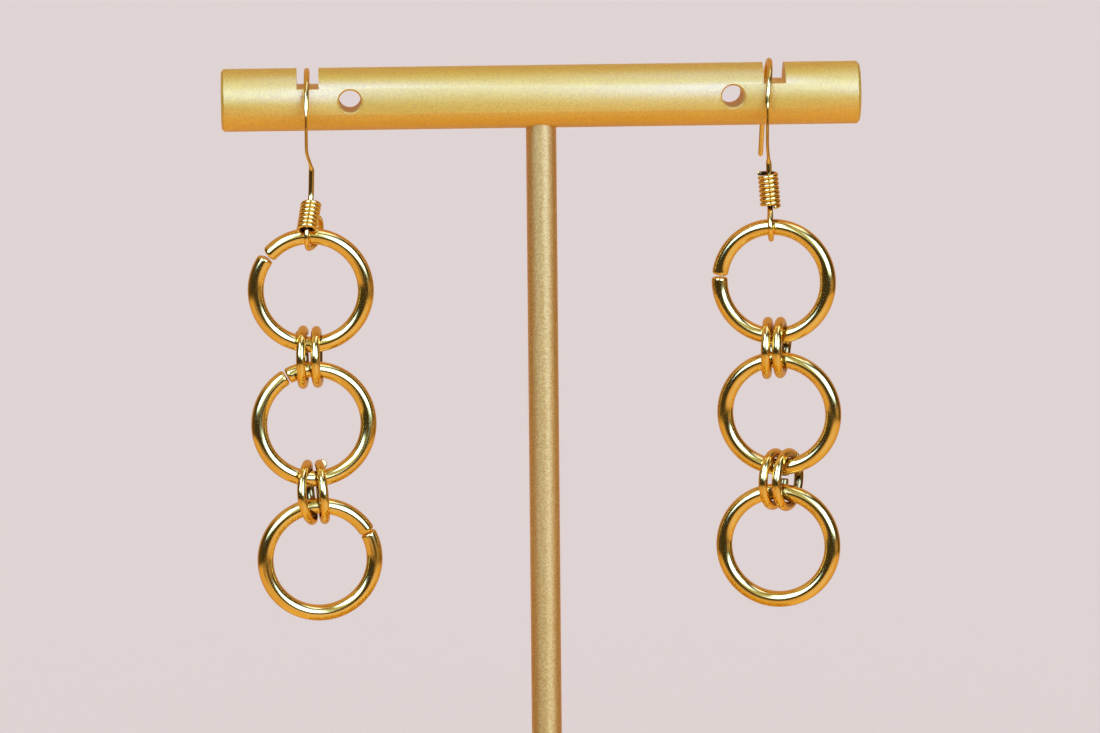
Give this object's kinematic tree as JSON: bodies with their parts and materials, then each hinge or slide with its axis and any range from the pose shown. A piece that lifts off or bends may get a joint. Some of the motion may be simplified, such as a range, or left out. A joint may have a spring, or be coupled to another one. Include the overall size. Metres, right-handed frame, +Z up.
{
  "type": "pair of triple hoop drop earrings on a t-bar earring stand",
  "caption": "Pair of gold drop earrings, each a chain of cut wire hoops joined by paired jump rings on a coiled ear wire, hung in the slots of a plain gold T-bar stand.",
  "frame": {"origin": "middle of the stand base's underside, on the surface that it rests on", "axes": "+X along the crossbar to the right earring, -Y the front of the earrings, +Z up along the post"},
  "size_m": [0.0712, 0.06, 0.096],
  "materials": {
    "satin_gold": "satin anodised gold, finely blasted",
    "blasted_gold": "coarsely blasted anodised gold with fine sparkle",
    "base_gold": "satin gold coating on a steel plate",
    "polished_gold": "mirror-polished yellow gold plating"
  },
  "bodies": {
    "stand": {"stand_bar": "satin_gold", "stand_post": "blasted_gold", "stand_base": "base_gold", "left_ear_hook": "polished_gold", "left_coil": "polished_gold", "right_ear_hook": "polished_gold", "right_coil": "polished_gold"},
    "left_drop": {"left_hoop_top": "polished_gold", "left_hoop_middle": "polished_gold", "left_hoop_bottom": "polished_gold", "left_ring_upper_a": "polished_gold", "left_ring_upper_b": "polished_gold", "left_ring_lower_a": "polished_gold", "left_ring_lower_b": "polished_gold"},
    "right_drop": {"right_hoop_top": "polished_gold", "right_hoop_middle": "polished_gold", "right_hoop_bottom": "polished_gold", "right_ring_upper_a": "polished_gold", "right_ring_upper_b": "polished_gold", "right_ring_lower_a": "polished_gold", "right_ring_lower_b": "polished_gold"}
  },
  "joints": [
    {"name": "left_drop_swing", "type": "hinge", "parent": "stand", "child": "left_drop", "pos_m": [-0.02597, -0.00408, 0.07717], "axis": [0.9999, -0.0105, 0], "range_deg": [-75, 75]},
    {"name": "right_drop_swing", "type": "hinge", "parent": "stand", "child": "right_drop", "pos_m": [0.02571, -0.0035, 0.07737], "axis": [0.9694, -0.2453, 0], "range_deg": [-75, 75]}
  ]
}
